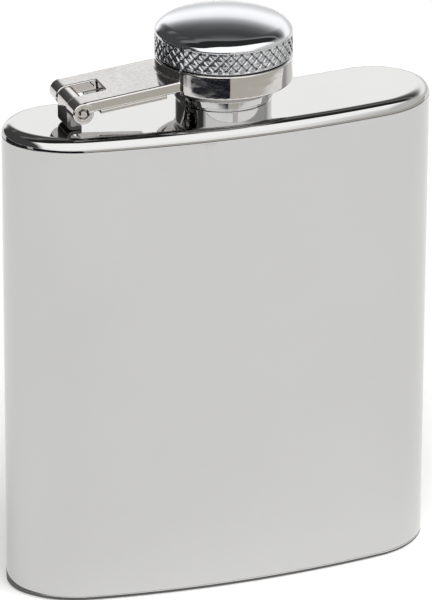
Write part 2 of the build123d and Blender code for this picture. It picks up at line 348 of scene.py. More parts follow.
def base_pan():
    """Bottom plate: small round over its outer edge, turned up to meet the side wall."""
    corners = [(-RIM, 0), (0, 0), (0, BASE_TOP), (-SHEET, BASE_TOP), (-SHEET, PLATE), (-RIM, PLATE)]
    radii = [0, BASE_ROUND, BASE_EASE, INNER_EASE, INNER_EASE, 0]
    edge = rounded(corners, radii, closed=False, steps=14)
    return stamped_plate("base_pan", edge, 0.0, PLATE)


RIDGE_FOOT, RIDGE_FLANK = 0.78, 0.5
THREAD_FADE = 0.7
PLAIN_COLUMNS, THREAD_COLUMNS, KNURL_COLUMNS = 128, 180, 720


def thread_relief(root, depth, bottom, top, phase):
    """Screw thread on the profile's stretch at the root radius: a ridge that winds up one pitch each turn.
    Its flanks rise as 3t^2 - 2t^3, over shares of half a pitch, and it fades in and out at its two ends."""

    def relief(angle, height, radius):
        climb = (height - phase) / THREAD_PITCH - angle / TURN
        away = np.abs((climb + 0.5) % 1.0 - 0.5) * 2
        ridge = np.clip((RIDGE_FOOT - away) / RIDGE_FLANK, 0, 1)
        ridge = ridge * ridge * (3 - 2 * ridge)
        fade = np.clip((height - bottom) / THREAD_FADE, 0, 1) * np.clip((top - height) / THREAD_FADE, 0, 1)
        return np.where(np.abs(radius - root) < 0.02, depth * ridge * fade, 0)

    return relief


def neck_tube():
    """Neck turned about its axis: weld flange, plain barrel, shallow groove, bead with a sloped top, screw
    thread and mouth."""
    low, top = neck_low[2], neck_high[2]
    flange_radius = (neck_high[0] - neck_low[0]) / 2
    flange_top = low + 0.6
    groove, bead, bead_rim = 7.25, 7.75, 7.3
    root, crest = 6.15, 6.65
    bead_top, mouth_slope = 82.3, 0.3
    corners = [
        (MOUTH_RADIUS, low), (flange_radius, low), (flange_radius, flange_top), (NECK_RADIUS, flange_top),
        (NECK_RADIUS, 79.95), (groove, 80.1), (groove, 80.4), (bead, 80.55), (bead, 81.6),
        (bead_rim, bead_top), (root, bead_top), (root, top - mouth_slope), (root - mouth_slope, top),
        (MOUTH_RADIUS, top),
    ]
    radii = [0.1, 0.1, 0.1, 0.05, 0.06, 0.06, 0.06, 0.1, 0.15, 0.1, 0.1, 0.1, 0.1, 0.2]
    thread = thread_relief(root, crest - root, 82.6, 88.6, 0.0)
    grid = turned(rounded_loop(corners, radii, 0.09), THREAD_COLUMNS, (0, NECK_Y), thread)
    return skin("neck_with_thread", *grid, closed_along=True)


# ---------------------------------------------------------------- hinge


def carried_strip(name, path, across, thickness, width, centre_y, edge=0.12):
    """Strip bent along a path in the XZ plane: a rounded rectangle, thickness by width, carried along the
    path on its own normal and the Y axis, with its two ends closed flat."""
    half_t, half_w = thickness / 2, width / 2
    section, lean = rounded(
        [(-half_t, -half_w), (half_t, -half_w), (half_t, half_w), (-half_t, half_w)], edge, steps=5
    )
    points = np.zeros((len(path), len(section), 3))
    normals = np.zeros_like(points)
    points[..., 0] = path[:, None, 0] + across[:, None, 0] * section[None, :, 0]
    points[..., 2] = path[:, None, 1] + across[:, None, 1] * section[None, :, 0]
    points[..., 1] = centre_y + section[None, :, 1]
    normals[..., 0] = across[:, None, 0] * lean[None, :, 0]
    normals[..., 2] = across[:, None, 1] * lean[None, :, 0]
    normals[..., 1] = lean[None, :, 1]
    rows, columns = points.shape[:2]
    index = np.arange(rows * columns).reshape(rows, columns)
    lower, upper = index[:-1], index[1:]
    quads = np.stack([lower, upper, np.roll(upper, -1, 1), np.roll(lower, -1, 1)], axis=-1).reshape(-1, 4)
    faces = quads.tolist() + [index[0].tolist(), index[-1][::-1].tolist()]
    return piece(name, points.reshape(-1, 3), faces, normals.reshape(-1, 3))


def hinge_bracket():
    """Foot, upright leaf and rolled barrel: one strip whose path runs in along the shoulder, bends up,
    and winds over the pin."""
    strip, slack = 0.65, 0.02
    foot_length, bend = 2.4, 0.75
    width = bracket_high[1] - bracket_low[1]
    leaf_x = bracket_low[0] + strip / 2
    foot_z = SHOULDER_Z + strip / 2
    roll = PIN_X - leaf_x
    foot_x = np.linspace(bracket_low[0] + foot_length, leaf_x + bend, 12)[:-1]
    foot = np.stack([foot_x, np.full(len(foot_x), foot_z)], 1)
    turn = np.radians(np.linspace(270, 180, 10))
    corner = np.stack([leaf_x + bend + bend * np.cos(turn), foot_z + bend + bend * np.sin(turn)], 1)
    leaf_z = np.linspace(foot_z + bend, PIN_Z, 8)[1:-1]
    leaf = np.stack([np.full(len(leaf_z), leaf_x), leaf_z], 1)
    wind = np.radians(np.linspace(180, -150, 60))
    barrel = np.stack([PIN_X + roll * np.cos(wind), PIN_Z + roll * np.sin(wind)], 1)
    path = np.concatenate([foot, corner, leaf, barrel])
    along = unit(np.gradient(path, axis=0))
    across = np.stack([-along[:, 1], along[:, 0]], 1)
    return carried_strip("rolled_bracket", path, across, strip - slack, width, NECK_Y)


def hinge_pin():
    """Rivet pin turned about the hinge line. Each end has a dimpled stub with a ring groove round it."""
    radius = (pin_high[0] - pin_low[0]) / 2
    half = (pin_high[1] - pin_low[1]) / 2
    dimple, groove = half - 0.15, half - 0.9
    head = [(0, dimple), (0.15, dimple), (0.25, half), (0.5, half), (0.6, groove), (radius, groove)]
    eases = [0, 0.06, 0.06, 0.08, 0.04, 0.04]
    corners = [(r, -h) for r, h in head] + [(r, h) for r, h in reversed(head)]
    points, normals = turned(rounded(corners, eases + eases[::-1], closed=False, steps=5), 64)
    swap, flip = [0, 2, 1], np.array([1, 1, -1])
    return skin("rivet_pin", points[..., swap] * flip + (PIN_X, NECK_Y, PIN_Z), normals[..., swap] * flip)


# ---------------------------------------------------------------- captive arm, as one blended casting


def rounded_box(x, y, z, low, high, radius):
    """Distance to a box with rounded edges, given by its two corners."""
    low, high = np.array(low, float), np.array(high, float)
    centre, half = (low + high) / 2, (high - low) / 2 - radius
    qx, qy, qz = (np.abs(value - centre[k]) - half[k] for k, value in enumerate((x, y, z)))
    outside = np.sqrt(np.maximum(qx, 0) ** 2 + np.maximum(qy, 0) ** 2 + np.maximum(qz, 0) ** 2)
    return outside + np.minimum(np.maximum(qx, np.maximum(qy, qz)), 0) - radius


def rounded_ring(r, z, low, high, radius):
    """Distance to a turned ring with rounded edges, given by its lowest and highest (radius, height)."""
    return rounded_box(r, 0 * r, z, (low[0], -9, low[1]), (high[0], 9, high[1]), radius)


def join(a, b, blend):
    """Union of two distance fields with a small fillet."""
    h = np.clip(0.5 + 0.5 * (b - a) / blend, 0, 1)
    return b * (1 - h) + a * h - blend * h * (1 - h)


def cut(a, b, blend):
    """Field a with field b taken away, the new edge broken by a small radius."""
    return -join(-a, b, blend)


ARM_SLOPE = math.radians(5.9)
ARM_HALF = 5.95
STRAP = 1.7
KNUCKLE_RADIUS, PIN_BORE = 1.7, 0.9
WINDOW_HALF, WINDOW_END = 2.45, 4.95
POCKET_START, POCKET_HALF, POCKET_ROOF = 5.9, 4.6, 0.85
LIP_START, LIP_END, LIP_PROUD = 2.7, 13.5, 0.2
LIP_LOW, LIP_HIGH = -0.5, 0.08
COLLAR_RADIUS, COLLAR_BORE, COLLAR_HOLE = 10.75, 10.0, 8.7
COLLAR_DEPTH, COLLAR_PLATE = 3.8, 0.7
SLIT_LOW, SLIT_HIGH = (-9.1, 5.2, 70), (-8.84, 6.7, 99)
PAST = 9.0


def from_strap(s, w, h):
    """Place of a point given along the strap, across it and up from it, measured from the hinge line."""
    x = PIN_X + s * math.cos(ARM_SLOPE) - h * math.sin(ARM_SLOPE)
    z = PIN_Z + s * math.sin(ARM_SLOPE) + h * math.cos(ARM_SLOPE)
    return x, w, z


def arm_field(s, w, h):
    """Distance field of the captive arm: strap with leaning sides, hinge knuckles and side lips, less the
    window, the pin's bore and the hollow underneath, joined to the collar ring that is turned about the
    neck's axis, with a slit beside each edge of the strap."""
    x, _, z = from_strap(s, w, h)
    radius = np.hypot(x, w)
    side_lean = 0.1 * np.clip(h - 0.3, 0, 2)
    lip_lean = 0.15 * np.clip(h + 0.5, 0, 1)
    knuckle = rounded_ring(np.hypot(s, h), w, (-3, -ARM_HALF), (KNUCKLE_RADIUS, ARM_HALF), 0.25)
    bar = rounded_box(s, np.abs(w) + side_lean, h, (0, -ARM_HALF, 0), (19, ARM_HALF, STRAP), 0.28)
    lip_low, lip_high = (LIP_START, -ARM_HALF, LIP_LOW), (LIP_END, ARM_HALF + LIP_PROUD, LIP_HIGH)
    lips = rounded_box(s, np.abs(w) + lip_lean, h, lip_low, lip_high, 0.08)
    window = rounded_box(s, w, h, (-PAST, -WINDOW_HALF, -PAST), (WINDOW_END, WINDOW_HALF, PAST), 0.35)
    pocket = rounded_box(s, w, h, (POCKET_START, -POCKET_HALF, -PAST), (30, POCKET_HALF, POCKET_ROOF), 0.3)
    strap = join(join(bar, knuckle, 0.05), lips, 0.06)
    strap = cut(cut(strap, window, 0.22), pocket, 0.12)
    strap = cut(strap, np.hypot(s, h) - PIN_BORE, 0.1)
    strap = np.maximum(strap, COLLAR_RADIUS - 0.4 - radius)
    top = arm_high[2]
    wall = rounded_ring(radius, z, (COLLAR_BORE, top - COLLAR_DEPTH), (COLLAR_RADIUS, top), 0.2)
    plate = rounded_ring(radius, z, (COLLAR_HOLE, top - COLLAR_PLATE), (COLLAR_RADIUS - 0.15, top), 0.2)
    solid = join(strap, join(wall, plate, 0.15), 0.3)
    return cut(solid, rounded_box(x, np.abs(w), z, SLIT_LOW, SLIT_HIGH, 0.05), 0.06)


def slope_of(field, points, reach=0.02):
    """Unit slope of a distance field at some points, by central differences."""
    slope = np.stack(
        [field(*(points + reach * shift).T) - field(*(points - reach * shift).T) for shift in np.eye(3)], -1
    )
    return unit(slope)


def contour(field, low, high, step):
    """Closed skin of a solid given by a distance field. The field is sampled on a lattice; each lattice cell
    that the surface crosses gets one point, the mean of the crossings on its edges, then moved along the
    field's slope onto the surface; each lattice edge that it crosses gets one quad between its four cells.
    Returns the points, the faces and the slopes."""
    axes = [np.arange(a, b + step, step) for a, b in zip(low, high)]
    lattice = np.meshgrid(*axes, indexing="ij")
    value = field(*lattice)
    cells = tuple(n - 1 for n in value.shape)
    total, hits = np.zeros(cells + (3,)), np.zeros(cells)
    place = np.stack(lattice, -1)
    crossings = []
    for axis in range(3):
        near = np.take(value, range(value.shape[axis] - 1), axis)
        far = np.take(value, range(1, value.shape[axis]), axis)
        crossed = (near < 0) != (far < 0)
        share = np.where(crossed, near / np.where(crossed, near - far, 1), 0)
        spot = np.take(place, range(value.shape[axis] - 1), axis).copy()
        spot[..., axis] += share * step
        spot *= crossed[..., None]
        u, v = (axis + 1) % 3, (axis + 2) % 3
        for du in (0, 1):
            for dv in (0, 1):
                window = [slice(None)] * 3
                window[u], window[v] = slice(du, cells[u] + du), slice(dv, cells[v] + dv)
                total += spot[tuple(window)]
                hits += crossed[tuple(window)]
        crossings.append((crossed, near < 0, u, v))
    used = hits > 0
    number = np.cumsum(used).reshape(cells) - 1
    points = total[used] / hits[used][:, None]
    faces = []
    for axis, (crossed, outward, u, v) in enumerate(crossings):
        at = np.argwhere(crossed)
        at = at[(at[:, u] > 0) & (at[:, u] < cells[u]) & (at[:, v] > 0) & (at[:, v] < cells[v])]
        corners = []
        for du, dv in ((1, 1), (0, 1), (0, 0), (1, 0)):
            cell = at.copy()
            cell[:, u] -= du
            cell[:, v] -= dv
            corners.append(number[tuple(cell.T)])
        quads = np.stack(corners, -1)
        faces.append(np.where(outward[tuple(at.T)][:, None], quads, quads[:, ::-1]))
    for _ in range(3):
        points = points - 0.8 * field(*points.T)[:, None] * slope_of(field, points)
    return points, np.concatenate(faces).tolist(), slope_of(field, points)


def captive_arm():
    """The arm's skin, sampled on a lattice that lies along the strap, and fine enough for its smallest
    radius. Its hinge line is at the lattice's origin. Each point stores a value that rises from 0 to 1 as
    the strap's skin turns to face upwards, off the collar: painted shade that darkens the strap's top, and
    wear that roughens it."""
    low, high, step = (-1.94, -11.02, -3.02), (36.1, 11.02, 4.6), 0.13
    points, faces, slopes = contour(arm_field, low, high, step)
    x, w, z = from_strap(*points.T)
    tilt_x, tilt_w, tilt_z = from_strap(*slopes.T)
    directions = np.stack([tilt_x - PIN_X, tilt_w, tilt_z - PIN_Z], -1)
    thing = piece("cast_arm", np.stack([x, w + NECK_Y, z], -1), faces, directions)
    # Mask for painted shade and wear on the strap's top: 1 where the skin faces up, away from the collar.
    facing_up = np.clip((slopes[:, 2] - 0.8) / 0.15, 0, 1)
    off_collar = np.clip((np.hypot(x, w) - COLLAR_RADIUS - 0.05) / 0.3, 0, 1)
    store(thing, "top_shade_and_wear", facing_up * off_collar)
    return thing


# ---------------------------------------------------------------- cap

CAP_RADIUS = (cap_high[0] - cap_low[0]) / 2
BAND_TOP = 90.85
KNURL_LOW, KNURL_HIGH = 87.45, BAND_TOP - 0.05
KNURL_DEPTH = 0.36
KNURL_COUNT = 40
KNURL_RUN_OUT = 0.25
GROOVE_EDGE = 0.6


def knurl_relief(angle, height, radius):
    """Diamond knurl rolled into the band: two families of V grooves lean 45 degrees each way round it, and
    leave low pyramids between them. The cut is deepest where two grooves cross and runs out at the band's
    two edges."""
    climb = height * KNURL_COUNT / (TURN * CAP_RADIUS)
    turns = angle * KNURL_COUNT / TURN
    left = np.abs((turns + climb) % 1.0 - 0.5) * 2
    right = np.abs((turns - climb) % 1.0 - 0.5) * 2
    left_groove = np.clip((left - GROOVE_EDGE) / (1 - GROOVE_EDGE), 0, 1)
    right_groove = np.clip((right - GROOVE_EDGE) / (1 - GROOVE_EDGE), 0, 1)
    grooves = 0.55 * np.maximum(left_groove, right_groove) + 0.3 * left_groove * right_groove
    pyramids = 0.15 * np.maximum(left, right)
    run_out = np.clip((height - KNURL_LOW) / KNURL_RUN_OUT, 0, 1)
    run_out = run_out * np.clip((KNURL_HIGH - height) / KNURL_RUN_OUT, 0, 1)
    band = radius > CAP_RADIUS - 0.01
    return -KNURL_DEPTH * (grooves + pyramids) * run_out * band


def dome_profile():
    """Crown of the cap: a tight arc turns up out of the knurled band, a wider one leans it over, and a long
    one closes it level on the axis. Each arc is tangent to the one before."""
    turns, radii = (0, 40, 71, 90), [0.85, 3.65]
    middle = np.array([CAP_RADIUS, BAND_TOP])
    points, normals = [], []
    for start, end, count in zip(turns[:-1], turns[1:], (12, 14, 30)):
        heading = np.array([math.cos(math.radians(start)), math.sin(math.radians(start))])
        radius = radii.pop(0) if radii else middle[0] / heading[0]
        stretch, lean = arc(middle - radius * heading, radius, start, end, count)
        points.append(stretch[1:])
        normals.append(lean[1:])
        middle = stretch[-1]
    points, normals = np.concatenate(points), np.concatenate(normals)
    points[-1, 0] = 0
    return points, normals


def cap_shell():
    """Cap turned about its axis: knurled grip band under a pressed dome."""
    roof, low = 91.6, cap_low[2]
    corners = [
        (0, roof), (STEM_RADIUS, roof), (STEM_RADIUS, low), (CAP_RADIUS - 0.3, low), (CAP_RADIUS, low + 0.3),
        (CAP_RADIUS, BAND_TOP),
    ]
    shell, shell_lean = rounded(corners, [0, 0.3, 0.1, 0.1, 0.08, 0], closed=False, steps=5)
    band, band_lean = densify((shell[-2:], shell_lean[-2:]), 0.085)
    dome, dome_lean = dome_profile()
    profile = np.vstack([shell[:-2], band, dome]), np.vstack([shell_lean[:-2], band_lean, dome_lean])
    thing = skin("knurled_cap", *turned(profile, KNURL_COLUMNS, (0, NECK_Y), knurl_relief))
    mark_cuts(thing)
    return thing


def mark_cuts(thing):
    """Stores two values on each point: "grip", which is 1 on the knurled band, and "cut", which is how deep
    the point lies in the knurl, from 0 on a crest to 1 where two grooves cross."""
    place = np.zeros(len(thing.data.vertices) * 3)
    thing.data.vertices.foreach_get("co", place)
    x, y, z = place.reshape(-1, 3).T / MM
    depth = (CAP_RADIUS - np.hypot(x, y - NECK_Y)) / KNURL_DEPTH
    grip = (z > KNURL_LOW) & (z < KNURL_HIGH) & (depth < 1.01)
    store(thing, "grip", grip.astype(float))
    store(thing, "cut", np.clip(depth, 0, 1) * grip)


def threaded_sleeve():
    """The cap's inner sleeve: closed roof, screw thread on the inside and a flared lip at the bottom."""
    low, top = stem_low[2], stem_high[2]
    roof, root, lip = 90.35, 7.95, 9.4
    corners = [
        (0, roof), (root, roof), (root, low), (lip, low), (lip, low + 0.5), (STEM_RADIUS, low + 0.7),
        (STEM_RADIUS, top), (0, top),
    ]
    section = rounded(corners, [0, 0.2, 0.15, 0.15, 0.15, 0.1, 0.1, 0], closed=False, steps=5)
    thread = thread_relief(root, -0.5, low + 0.6, low + 5.6, 0.8)
    return skin("cap_thread_sleeve", *turned(densify(section, 0.09), THREAD_COLUMNS, (0, NECK_Y), thread))


def cap_gasket():
    """Moulded sealing disc, with a shallow ring pressed into it where the mouth bears."""
    low, high = gasket_low[2], gasket_high[2]
    radius = (gasket_high[0] - gasket_low[0]) / 2
    pressed, ring_start, ring_end = low + 0.12, 4.9, 5.2
    corners = [(0, pressed), (ring_start, pressed), (ring_end, low), (radius, low), (radius, high), (0, high)]
    section = densify(rounded(corners, [0, 0.3, 0.3, 0.25, 0.1, 0], closed=False, steps=6), 0.3)
    return skin("sealing_disc", *turned(section, PLAIN_COLUMNS, (0, NECK_Y)))


def retaining_washer():
    """Thin flat ring with eased edges."""
    low, high = washer_low[2], washer_high[2]
    bore, outer = 8.55, (washer_high[0] - washer_low[0]) / 2
    corners = [(bore, low), (outer, low), (outer, high), (bore, high)]
    section = rounded(corners, 0.1, steps=5)
    return skin("loose_washer", *turned(section, PLAIN_COLUMNS, (0, NECK_Y)), closed_along=True)


# ---------------------------------------------------------------- finishes


class Wiring:
    """A node tree being wired up: short names for its nodes. A value given to an input may be a number or
    another node's output."""

    def __init__(self, tree):
        self.tree = tree

    def node(self, kind, **settings):
        made = self.tree.nodes.new(kind)
        for key, value in settings.items():
            setattr(made, key, value)
        return made

    def link(self, output, socket):
        self.tree.links.new(output, socket)

    def feed(self, socket, value):
        if isinstance(value, (int, float, tuple)):
            socket.default_value = value
        else:
            self.link(value, socket)

    def math(self, operation, *values):
        node = self.node("ShaderNodeMath", operation=operation)
        for socket, value in zip(node.inputs, values):
            self.feed(socket, value)
        return node.outputs["Value"]

    def ramp(self, value, stops):
        """Colours blended between stops, each a position from 0 to 1 and a colour."""
        node = self.node("ShaderNodeValToRGB")
        elements = node.color_ramp.elements
        for spot, _ in stops[1:-1]:
            elements.new(spot)
        for element, (spot, colour) in zip(elements, stops):
            element.position = spot
            element.color = (*colour, 1)
        self.link(value, node.inputs["Fac"])
        return node.outputs["Color"]


class Finish(Wiring):
    """A material being wired up. Its patterns read the piece's own coordinates or its stored values."""

    def __init__(self, name):
        self.material = bpy.data.materials.new(name)
        self.material.use_nodes = True
        super().__init__(self.material.node_tree)
        self.shader = self.tree.nodes["Principled BSDF"]
        self.place = self.node("ShaderNodeTexCoord").outputs["Object"]

    def stretched(self, scale):
        mapping = self.node("ShaderNodeMapping")
        mapping.inputs["Scale"].default_value = scale
        self.link(self.place, mapping.inputs["Vector"])
        return mapping.outputs["Vector"]

    def noise(self, scale, detail=3.0, roughness=0.55, stretch=(1, 1, 1)):
        texture = self.node("ShaderNodeTexNoise")
        texture.inputs["Scale"].default_value = scale
        texture.inputs["Detail"].default_value = detail
        texture.inputs["Roughness"].default_value = roughness
        self.link(self.stretched(stretch), texture.inputs["Vector"])
        return texture.outputs["Fac"]

    def remap(self, value, low, high, new_low, new_high):
        node = self.node("ShaderNodeMapRange")
        for key, number in (
            ("From Min", low), ("From Max", high), ("To Min", new_low), ("To Max", new_high),
        ):
            node.inputs[key].default_value = number
        self.link(value, node.inputs["Value"])
        return node.outputs["Result"]

    def tint(self, value, dark, light):
        return self.ramp(value, [(0.0, dark), (1.0, light)])

    def shaded(self, colour, share):
        node = self.node("ShaderNodeVectorMath", operation="SCALE")
        self.link(colour, node.inputs["Vector"])
        self.link(share, node.inputs["Scale"])
        return node.outputs["Vector"]

    def height(self):
        node = self.node("ShaderNodeSeparateXYZ")
        self.link(self.place, node.inputs["Vector"])
        return node.outputs["Z"]

    def stored(self, name):
        return self.node("ShaderNodeAttribute", attribute_name=name).outputs["Fac"]

    def bump(self, height, distance, strength, after=None):
        node = self.node("ShaderNodeBump")
        node.inputs["Distance"].default_value = distance
        self.feed(node.inputs["Strength"], strength)
        self.link(height, node.inputs["Height"])
        if after is not None:
            self.link(after, node.inputs["Normal"])
        return node.outputs["Normal"]

    def set(self, **values):
        for key, value in values.items():
            self.feed(self.shader.inputs[key.replace("_", " ")], value)


def polished_steel():
    """Mirror-polished stainless sheet: faint buffing haze, hairline wipe marks and a trace of waviness."""
    f = Finish("polished_steel")
    hairlines = f.noise(900, 2, stretch=(1, 1, 0.04))
    haze = f.remap(f.noise(60, 4), 0.35, 0.75, 0.018, 0.05)
    waves = f.bump(f.noise(38, 1.0), 0.00005, 0.25)
    f.set(
        Base_Color=f.tint(f.noise(45, 3), (0.515, 0.513, 0.508), (0.55, 0.548, 0.543)),
        Metallic=1.0,
        Roughness=f.math("ADD", haze, f.remap(hairlines, 0.55, 0.8, 0.0, 0.03)),
        Normal=f.bump(hairlines, 0.000002, 0.3, waves),
    )
    return f.material


def arm_polish():
    """Hand-buffed casting: bright, with the slow ripple and short wipe marks that a buffing wheel leaves. The
    strap's top, where it faces up, is darker with painted shade broken by fine specks, and a little rougher."""
    f = Finish("arm_polish")
    wipes = f.noise(1100, 3, stretch=(0.25, 0.25, 1))
    ripple = f.bump(f.noise(170, 2.0), 0.00006, 0.35)
    tone = f.tint(f.noise(150, 3), (0.565, 0.55, 0.535), (0.63, 0.615, 0.60))
    top_shade_and_wear = f.stored("top_shade_and_wear")
    specks = f.remap(f.noise(1600, 4), 0.3, 0.7, 0.24, 0.06)
    # Painted shade: the colour darkens by 6 to 24 per cent, in specks, where the strap's top faces up.
    f.set(
        Base_Color=f.shaded(tone, f.math("SUBTRACT", 1.0, f.math("MULTIPLY", top_shade_and_wear, specks))),
        Metallic=1.0,
        Roughness=f.math("ADD", f.remap(wipes, 0.35, 0.75, 0.03, 0.11), f.math("MULTIPLY", top_shade_and_wear, 0.08)),
        Normal=f.bump(wipes, 0.000004, 0.2, ripple),
    )
    return f.material


def hinge_steel():
    """Tumbled and polished hinge steel: brighter haze from rubbing and small pits, with painted shade that
    darkens it towards its foot.
    """
    f = Finish("hinge_steel")
    grain = f.noise(700, 4)
    tone = f.tint(f.noise(260, 3), (0.50, 0.48, 0.465), (0.64, 0.62, 0.60))
    # Painted shade: the colour falls from full at 81.2 mm height to 0.12 at 79.5 mm and below, over the lower
    # leaf and the foot.
    lower_shade = f.remap(f.height(), 0.0795, 0.0812, 0.12, 1.0)
    f.set(
        Base_Color=f.shaded(tone, lower_shade),
        Metallic=1.0,
        Roughness=f.remap(grain, 0.3, 0.75, 0.05, 0.13),
        Normal=f.bump(grain, 0.00001, 0.35),
    )
    return f.material


def cap_chrome():
    """Bright cap finish: near-mirror dome with hairline wipe marks. The knurl is duller and speckled, with
    painted shade that darkens it where its grooves are deep."""
    f = Finish("cap_chrome")
    haze = f.remap(f.noise(120, 4), 0.35, 0.75, 0.02, 0.07)
    hairlines = f.noise(1500, 2, stretch=(1, 1, 0.1))
    speckle = f.noise(4200, 3)
    grip, cut = f.stored("grip"), f.stored("cut")
    gloss = f.math("ADD", haze, f.remap(hairlines, 0.55, 0.8, 0.0, 0.03))
    tone = f.tint(f.noise(300, 3), (0.62, 0.63, 0.65), (0.67, 0.68, 0.70))
    # Painted shade in the knurl's grooves: the colour falls to 0.06 of its tone where two grooves cross.
    groove_shade = f.remap(cut, 0.3, 0.8, 1.0, 0.06)
    dulled = f.math("SUBTRACT", 1.0, f.math("MULTIPLY", grip, f.remap(speckle, 0.35, 0.62, 0.5, 0.05)))
    f.set(
        Base_Color=f.shaded(tone, f.math("MULTIPLY", groove_shade, dulled)),
        Metallic=1.0,
        Roughness=f.math("ADD", gloss, f.math("MULTIPLY", grip, 0.15)),
        Normal=f.bump(speckle, 0.00003, f.math("MULTIPLY", grip, 0.5), f.bump(hairlines, 0.000002, 0.3)),
    )
    return f.material


def turned_steel():
    """Lathe-turned steel: fine tool rings up the thread and a soft satin sheen."""
    f = Finish("turned_steel")
    rings = f.noise(220, 2, stretch=(0.15, 0.15, 22))
    tone = f.tint(f.noise(300, 3), (0.48, 0.47, 0.455), (0.6, 0.59, 0.57))
    f.set(
        Base_Color=tone,
        Metallic=1.0,
        Roughness=f.remap(rings, 0.3, 0.7, 0.2, 0.38),
        Normal=f.bump(rings, 0.00001, 0.4),
    )
    return f.material


def silicone():
    """Milky food-grade silicone with a faint moulded grain."""
    f = Finish("silicone")
    grain = f.noise(1200, 3)
    tone = f.tint(f.noise(150, 3), (0.78, 0.78, 0.75), (0.86, 0.86, 0.84))
    f.set(
        Base_Color=tone,
        Roughness=f.remap(grain, 0.3, 0.7, 0.38, 0.55),
        Normal=f.bump(grain, 0.00002, 0.4),
        Subsurface_Weight=0.25,
        Subsurface_Radius=(0.002, 0.002, 0.002),
        Subsurface_Scale=0.5,
    )
    return f.material


# ---------------------------------------------------------------- the flask put together

FINISHES = {
    "polished_steel": polished_steel(),
    "arm_polish": arm_polish(),
    "hinge_steel": hinge_steel(),
    "cap_chrome": cap_chrome(),
    "turned_steel": turned_steel(),
    "silicone": silicone(),
}


def fit(thing, body, node, slot, finish=None):
    """Gives a finished piece its material and its moving body, and hides the frame node it stands for. The
    finish is the slot's own where none is named."""
    thing.data.materials.append(FINISHES[finish or slot])
    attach(thing, body)
    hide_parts(node)


fit(body_sleeve(), "flask", "body_sleeve", "polished_steel")
fit(base_pan(), "flask", "base_plate", "polished_steel")
fit(shoulder_pan(), "flask", "shoulder_plate", "polished_steel")
fit(neck_tube(), "flask", "neck_tube", "polished_steel")
fit(hinge_bracket(), "flask", "hinge_bracket", "hinge_steel")
fit(hinge_pin(), "flask", "hinge_pin", "hinge_steel")
fit(captive_arm(), "arm", "captive_arm", "polished_steel", "arm_polish")
fit(retaining_washer(), "washer", "retaining_washer", "turned_steel")
fit(cap_shell(), "cap", "cap_shell", "cap_chrome")
fit(threaded_sleeve(), "cap", "threaded_sleeve", "turned_steel")
fit(cap_gasket(), "cap", "cap_gasket", "silicone")

# ---------------------------------------------------------------- studio

VIEW_AZIMUTH, VIEW_ELEVATION, VIEW_ROLL = (math.radians(angle) for angle in (-19.857, 22.897, 0.258))
VIEW_DISTANCE, AIM_RIGHT, AIM_UP = 0.8912, -0.000687, 0.041587
LENS, SENSOR = 332.1, 36
AWAY = np.array([-math.sin(VIEW_AZIMUTH), math.cos(VIEW_AZIMUTH), 0])
ASIDE = np.array([math.cos(VIEW_AZIMUTH), math.sin(VIEW_AZIMUTH), 0])


def floor():
    """Plain pale floor, large enough to fill every view. It glows a little, as a light table does, which
    keeps the shadow under the flask soft."""
    half = 6.0
    corners = np.array([(-half, -half, 0), (half, -half, 0), (half, half, 0), (-half, half, 0)])
    thing = flat_shaded("floor", corners, [(0, 1, 2, 3)])
    f = Finish("pale_floor")
    f.set(
        Base_Color=f.tint(f.noise(6, 2), (0.86, 0.86, 0.855), (0.88, 0.88, 0.875)),
        Roughness=0.9,
        Specular_IOR_Level=0.0,
        Emission_Color=(1.0, 0.995, 0.985, 1.0),
        Emission_Strength=0.27,
    )
    thing.data.materials.append(f.material)


TABLE_START, TABLE_END = (0.236, 0.216), (3.0, 3.0)
HINGE_START, HINGE_END = (0.203, 0.203), (0.2175, 0.2175)
CARD_HEIGHT, SHADE_HEIGHT = 0.0006, 0.0003


def reflected_card(name, start, end, strength, colour, inner=TABLE_START, outer=TABLE_END):
    """Flat card lying round the flask, seen by polished metal alone: a sector of a ring between two bearings
    in degrees and two ovals, each given by its half length and half breadth. It glows with one colour."""
    steps = 48
    bearing = np.radians(np.linspace(start, end, steps))[None]
    reach = np.array([inner, outer])[:, :, None]
    plan = [reach[:, 0] * np.cos(bearing), reach[:, 1] * np.sin(bearing)]
    points = np.stack(plan + [np.full((2, steps), CARD_HEIGHT)], -1)
    near, far = np.arange(2 * steps).reshape(2, steps)
    faces = np.stack([near[:-1], far[:-1], far[1:], near[1:]], -1)
    glowing_card(name, points.reshape(-1, 3), faces.tolist(), strength, colour)


def contact_shade():
    """Dark line where the flask stands, seen by polished metal alone: the outline, a little enlarged and
    moved towards the darker side."""
    plan = (OUTLINE + 0.9 * OUTLINE_NORMALS + np.array([-0.7, 0])) * MM
    points = np.concatenate([plan, np.full((len(plan), 1), SHADE_HEIGHT)], 1)
    glowing_card("contact_shade", points, [list(range(len(points)))], 0.2, (1.0, 1.0, 1.0))


def glowing_card(name, points, faces, strength, colour):
    """Flat card of one glowing colour that shows only in reflections."""
    thing = flat_shaded(name, points, faces)
    material = bpy.data.materials.new(name)
    material.use_nodes = True
    wires = Wiring(material.node_tree)
    wires.tree.nodes.clear()
    glow = wires.node("ShaderNodeEmission")
    glow.inputs["Color"].default_value = (*colour, 1)
    glow.inputs["Strength"].default_value = strength
    wires.link(glow.outputs["Emission"], wires.node("ShaderNodeOutputMaterial").inputs["Surface"])
    thing.data.materials.append(material)
    thing.visible_camera = False
    thing.visible_shadow = False
    thing.visible_diffuse = False


# Surroundings, as pairs of an angle over the flask and a brightness: from the back horizon (0 degrees)
# through straight up (90) to the front horizon (180).
HALF_CIRCLE = 180
SKY_PEAK = 1.7
SKY_BANDS = (
    (0, 0.8), (6, 0.87), (11, 1.08), (16, 1.34), (20, 1.4), (24, 1.37), (27, 1.3), (30, 1.13), (33, 0.74),
    (36, 0.46), (39, 0.29), (41, 0.2), (44, 0.145), (48, 0.095), (52, 0.075), (55, 0.105), (57.5, 0.19),
    (60, 0.23), (66, 0.235), (70, 0.03), (104, 0.03), (106, 1.6), (165, 1.6), (180, 1.4),
)

